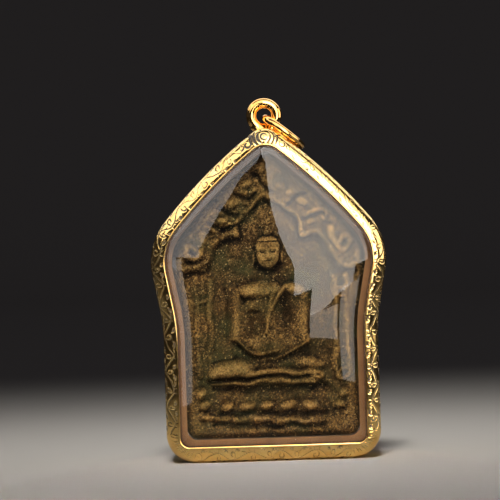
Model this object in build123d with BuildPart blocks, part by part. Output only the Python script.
from build123d import *
import os
from collections import namedtuple
from math import cos, radians, sin

os.makedirs("parts", exist_ok=True)

# Amulet pendant: a pressed clay tablet with a seated figure, sealed in a clear acrylic
# capsule that is held by a five-sided gold case. Millimetres. The case stands on its
# flat foot at z = 0, faces -Y, and is symmetric about the plane x = 0. The domed window
# stands out in front, so the case's middle lies behind the origin by half the dome's rise.

# Outline of the case from the front, walked from the apex down its right side
apex_height = 51.85
apex_slope = 35.5
side_radius = 83.0
side_turn = 15.0
shoulder_radius = 9.9
shoulder_turn = 50.0
waist_radius = 27.0
half_width = 16.5
corner_radius = 4.5
apex_radius = 3.0

# Section of the case
case_depth = 10.6
band_round = 1.9
band_width = 2.2
foot_width = 2.5
opening_corner = 1.4
opening_apex = 1.7
wall = 0.9
channel_depth = 8.8

# Clear capsule in the case's channel
fit_gap = 0.05
dome_rise = 0.6
dome_steps = ((0.0, 0.0), (0.7, 0.6), (2.4, 1.0))
pocket_inset = 3.7
pocket_front = -3.2
tray_back = 2.65
back_plate_front = 2.7
back_plate_rear = 5.4

# Clay tablet
tablet_inset = 3.8
tablet_corner = 1.3
tablet_apex = 0.8
slab_front = -1.2
slab_back = 2.5
rim_chamfer = 0.3

# Hanging loop on the apex, and the jump ring through it
loop_radius = 1.95
loop_wire = 1.6
loop_height = 53.15
ring_radius = 3.47
ring_wire = 1.2
ring_slope = 38.6
ring_hinge_x = 0.2
ring_hinge_z = 52.78

flank_lean = apex_slope + side_turn + shoulder_turn - 90
case_middle = dome_rise / 2
front_face = case_middle - case_depth / 2
back_face = case_middle + case_depth / 2
channel_front = case_middle - channel_depth / 2
channel_back = case_middle + channel_depth / 2


def front_plane(y):
    """Plane that faces the front, at depth y."""
    return Plane.XZ.offset(-y)


def house(y, inset, foot, corner, apex):
    """Five-sided face at depth y, inset from the case's outline, with its base at height foot."""
    lean = radians(flank_lean)
    slope = radians(apex_slope)
    with BuildSketch(front_plane(y)) as face:
        with BuildLine():
            side = JernArc((0, apex_height), (cos(slope), -sin(slope)), side_radius, -side_turn)
            shoulder = JernArc(side @ 1, side % 1, shoulder_radius, -shoulder_turn)
            waist_inset = waist_radius * (1 - cos(lean))
            flank_length = ((shoulder @ 1).X - half_width - waist_inset) / sin(lean)
            flank = Line(shoulder @ 1, shoulder @ 1 + (shoulder % 1) * flank_length)
            waist = JernArc(flank @ 1, flank % 1, waist_radius, flank_lean)
            Line(waist @ 1, (half_width, 0))
            Line((half_width, 0), (0, 0))
            mirror(about=Plane.YZ)
        make_face()
        if inset > 0:
            offset(amount=-inset)
            Rectangle(3 * half_width, foot, align=(Align.CENTER, Align.MIN), mode=Mode.SUBTRACT)
        fillet(face.vertices().group_by(Axis.Y)[0], corner)
        fillet(face.vertices().sort_by(Axis.Y)[-1], apex)
    return face.sketch


# Case: a band with round front and back edges, a channel inside it, and the soldered loop
with BuildPart() as case_frame:
    extrude(house(back_face, 0, 0, corner_radius, apex_radius), amount=case_depth)
    fillet(case_frame.faces().sort_by(Axis.Y)[0].edges(), band_round)
    fillet(case_frame.faces().sort_by(Axis.Y)[-1].edges(), band_round)
    opening = house(back_face, band_width, foot_width, opening_corner, opening_apex)
    extrude(opening, amount=case_depth, mode=Mode.SUBTRACT)
    channel = house(channel_back, wall, wall, corner_radius - wall, apex_radius - wall)
    extrude(channel, amount=channel_depth, mode=Mode.SUBTRACT)
    with Locations(Plane(origin=(0, case_middle, loop_height), z_dir=(0, -1, 0))):
        Torus(loop_radius, loop_wire / 2)
case_frame.part.label = "case_frame"
export_step(case_frame.part, "parts/case_frame.step")


# Jump ring: passes through the loop and lies along the right upper side of the case
ring_tilt = radians(ring_slope)
ring_plane = Plane(
    origin=(
        ring_hinge_x + ring_radius * cos(ring_tilt),
        case_middle,
        ring_hinge_z - ring_radius * sin(ring_tilt),
    ),
    x_dir=(cos(ring_tilt), 0, -sin(ring_tilt)),
    z_dir=(sin(ring_tilt), 0, cos(ring_tilt)),
)
with BuildPart() as jump_ring:
    with Locations(ring_plane):
        Torus(ring_radius, ring_wire / 2)
jump_ring.part.label = "jump_ring"
export_step(jump_ring.part, "parts/jump_ring.step")


# Front of the capsule: a tray in the channel, with a low dome that fills the opening
tray_front = channel_front + fit_gap
tray_inset = wall + fit_gap
dome_inset = band_width + fit_gap
with BuildPart() as front_window:
    tray = house(tray_back, tray_inset, tray_inset, corner_radius - tray_inset, apex_radius - tray_inset)
    extrude(tray, amount=tray_back - tray_front)
    plug = house(tray_front, dome_inset, foot_width + fit_gap, opening_corner, opening_apex)
    extrude(plug, amount=tray_front - front_face)
    dome = [
        house(
            front_face - dome_rise * rise,
            dome_inset + inward,
            foot_width + fit_gap + inward,
            opening_corner,
            opening_apex,
        )
        for inward, rise in dome_steps
    ]
    loft(dome, ruled=True)
    pocket = house(tray_back, pocket_inset, pocket_inset, tablet_corner, tablet_apex)
    extrude(pocket, amount=tray_back - pocket_front, mode=Mode.SUBTRACT)
front_window.part.label = "front_window"
export_step(front_window.part, "parts/front_window.step")


# Back of the capsule: a flat plate that steps out through the back opening
with BuildPart() as back_window:
    plate_back = channel_back - fit_gap
    plate = house(plate_back, tray_inset, tray_inset, corner_radius - tray_inset, apex_radius - tray_inset)
    extrude(plate, amount=plate_back - back_plate_front)
    step = house(back_plate_rear, dome_inset, foot_width + fit_gap, opening_corner, opening_apex)
    extrude(step, amount=back_plate_rear - plate_back)
back_window.part.label = "back_window"
export_step(back_window.part, "parts/back_window.step")


# Relief on the tablet. A stroke is a raised line of round section, a lump part of a ball;
# rise is how far each stands above the slab. Paired ones are repeated on the other side.
Stroke = namedtuple("Stroke", "name radius rise bend points")
Lump = namedtuple("Lump", "name x z radius rise")

strokes = (
    Stroke("arch crown", 0.42, 0.70, 0.7, (
        (-4.95, 35.0), (-4.45, 37.0), (-3.0, 38.7), (-1.5, 40.0), (0, 40.8),
        (1.5, 40.0), (3.0, 38.7), (4.45, 37.0), (4.95, 35.0))),
    Stroke("right forearm", 0.62, 1.15, 0.8, ((-4.9, 19.3), (-3.5, 17.3), (-1.3, 16.4), (1.0, 16.45))),
    Stroke("left forearm", 0.58, 1.00, 0.8, ((4.9, 19.2), (3.4, 17.0), (1.2, 15.7), (-0.8, 15.75))),
    Stroke("robe fold", 0.40, 1.40, 0.8, ((2.0, 26.6), (0.1, 23.5), (-0.5, 19.4))),
    Stroke("upper shin", 0.72, 1.20, 1.2, (
        (-8.6, 13.1), (-5.2, 13.8), (-1.9, 13.3), (1.6, 13.8), (6.8, 12.9))),
    Stroke("lower shin", 0.55, 0.90, 1.2, ((-8.0, 11.9), (-2.2, 11.6), (1.8, 12.0), (7.2, 11.7))),
    Stroke("base ledge", 0.45, 0.60, 1.2, ((-6.8, 6.7), (-2.0, 6.5), (5.6, 6.4))),
    Stroke("neck", 0.95, 0.75, 0, ((0, 28.3), (0, 30.6))),
    Stroke("nose", 0.24, 1.78, 0, ((0, 31.3), (0, 32.2))),
    Stroke("mouth", 0.17, 1.30, 0, ((-0.5, 30.75), (0.5, 30.75))),
)
paired_strokes = (
    Stroke("arch shoulder", 0.40, 0.62, 0.6, (
        (4.9, 34.65), (6.6, 34.7), (8.3, 33.8), (9.2, 31.7), (10.2, 29.9), (11.7, 29.2), (13.1, 30.0))),
    Stroke("inner pillar rib", 0.33, 0.42, 0, ((9.25, 13.3), (9.25, 27.4))),
    Stroke("middle pillar rib", 0.36, 0.50, 0, ((10.15, 13.3), (10.15, 27.2))),
    Stroke("outer pillar rib", 0.34, 0.45, 0, ((11.1, 13.3), (11.1, 27.4))),
    Stroke("capital", 0.45, 0.60, 0, ((9.3, 24.0), (11.0, 24.0))),
    Stroke("shoulder line", 0.85, 1.10, 0, ((0.8, 28.0), (4.1, 27.35))),
    Stroke("upper arm", 0.74, 1.18, 1.5, ((4.45, 27.2), (4.98, 24.0), (4.75, 19.8))),
    Stroke("thigh", 0.95, 1.00, 1.5, ((2.4, 16.0), (5.2, 15.6), (8.1, 14.0))),
    Stroke("ear", 0.26, 0.75, 0, ((2.12, 30.9), (2.12, 33.2))),
    Stroke("eyelid", 0.17, 1.58, 0, ((0.5, 32.0), (1.15, 32.0))),
)
lumps = (
    Lump("petal", -7.0, 8.6, 1.35, 0.80),
    Lump("petal", -3.9, 8.65, 1.30, 0.75),
    Lump("petal", -0.9, 8.65, 1.28, 0.80),
    Lump("petal", 2.3, 8.6, 1.30, 0.75),
    Lump("petal", 5.7, 8.6, 1.38, 0.80),
    Lump("spire leaf", -0.4, 44.6, 0.85, 0.55),
    Lump("spire leaf", 0.2, 42.6, 0.90, 0.60),
    Lump("crown knob", 0, 35.4, 0.85, 1.05),
)
paired_lumps = (
    Lump("leaf", 2.2, 42.3, 0.85, 0.55),
    Lump("leaf", 3.9, 40.8, 0.80, 0.50),
    Lump("leaf", 5.2, 39.2, 0.95, 0.62),
    Lump("leaf", 5.9, 37.2, 0.85, 0.55),
    Lump("leaf", 7.6, 37.5, 0.90, 0.60),
    Lump("leaf", 8.2, 35.6, 0.80, 0.52),
    Lump("leaf", 9.9, 35.0, 0.92, 0.60),
    Lump("corner leaf", 10.9, 10.6, 0.95, 0.55),
    Lump("corner leaf", 10.3, 8.5, 0.90, 0.60),
    Lump("corner leaf", 10.0, 6.6, 0.85, 0.50),
)
scroll_x = 11.5
scroll_z = 32.2
scroll_radius = 1.15
scroll_wire = 0.36
head_half_width = 2.1
head_half_height = 2.5
head_z = 32.3
head_rise = 1.6
hair_line_z = 33.8
hair_line_wire = 0.22
torso_rise = 0.85
torso_root = 0.3
torso_taper = 25
torso = ((-4.6, 27.6), (4.6, 27.6), (3.0, 22.0), (2.9, 17.0), (-2.9, 17.0), (-3.0, 22.0))
flame_z = (35.9, 38.2)
flame_radii = (0.62, 0.12)


def centre_y(radius, rise):
    """Depth of the centre of a round form that stands rise above the slab."""
    return slab_front + radius - rise


def stroke_solid(stroke, side=1):
    """Raised line along the stroke's points, with ball ends."""
    y = centre_y(stroke.radius, stroke.rise)
    points = [(side * x, y, z) for x, z in stroke.points]
    with BuildPart() as line:
        with BuildLine() as path:
            if stroke.bend > 0:
                FilletPolyline(*points, radius=stroke.bend)
            else:
                Line(*points)
        wire = path.wires()[0]
        with BuildSketch(Plane(origin=wire @ 0, z_dir=wire % 0)):
            Circle(stroke.radius)
        sweep()
        with Locations(points[0], points[-1]):
            Sphere(stroke.radius)
    return line.part


def lump_solid(lump, side=1):
    """Ball that shows as a raised cap on the slab."""
    y = centre_y(lump.radius, lump.rise)
    with BuildPart() as ball:
        with Locations((side * lump.x, y, lump.z)):
            Sphere(lump.radius)
    return ball.part


def head_solid():
    """Head as a spheroid, with a raised hair line round it and a flame over its knob."""
    y = centre_y(head_half_width, head_rise)
    axis = Axis((0, y, head_z), (0, 0, 1))
    level = (hair_line_z - head_z) / head_half_height
    with BuildPart() as head:
        with BuildSketch(front_plane(y)) as half:
            with Locations((0, head_z)):
                Ellipse(head_half_width, head_half_height)
                Rectangle(
                    head_half_width,
                    2 * head_half_height,
                    align=(Align.MAX, Align.CENTER),
                    mode=Mode.SUBTRACT,
                )
        revolve(axis=axis)
        with Locations((0, y, hair_line_z)):
            Torus(head_half_width * (1 - level**2) ** 0.5, hair_line_wire)
        flame_height = flame_z[1] - flame_z[0]
        with Locations((0, centre_y(flame_radii[0], flame_radii[0]), flame_z[0])):
            Cone(*flame_radii, flame_height, align=(Align.CENTER, Align.CENTER, Align.MIN))
    return head.part


def torso_solid():
    """Torso as a tapered slab between the arms."""
    with BuildPart() as body:
        with BuildSketch(front_plane(slab_front + torso_root)):
            with BuildLine():
                Polyline(*torso, close=True)
            make_face()
        extrude(amount=torso_rise + torso_root, taper=torso_taper)
    return body.part


def scroll_solid(side):
    """Curl at the outer end of the arch."""
    with BuildPart() as curl:
        centre = (side * scroll_x, centre_y(scroll_wire, scroll_wire), scroll_z)
        with Locations(Plane(origin=centre, z_dir=(0, -1, 0))):
            Torus(scroll_radius, scroll_wire)
    return curl.part


relief = [stroke_solid(stroke) for stroke in strokes]
relief += [lump_solid(lump) for lump in lumps]
relief += [head_solid(), torso_solid()]
for side in (1, -1):
    relief += [stroke_solid(stroke, side) for stroke in paired_strokes]
    relief += [lump_solid(lump, side) for lump in paired_lumps]
    relief.append(scroll_solid(side))

with BuildPart() as tablet:
    slab = house(slab_back, tablet_inset, tablet_inset, tablet_corner, tablet_apex)
    extrude(slab, amount=slab_back - slab_front)
    chamfer(tablet.faces().sort_by(Axis.Y)[0].edges(), rim_chamfer)
    add(relief)
tablet.part.label = "tablet"
export_step(tablet.part, "parts/tablet.step")
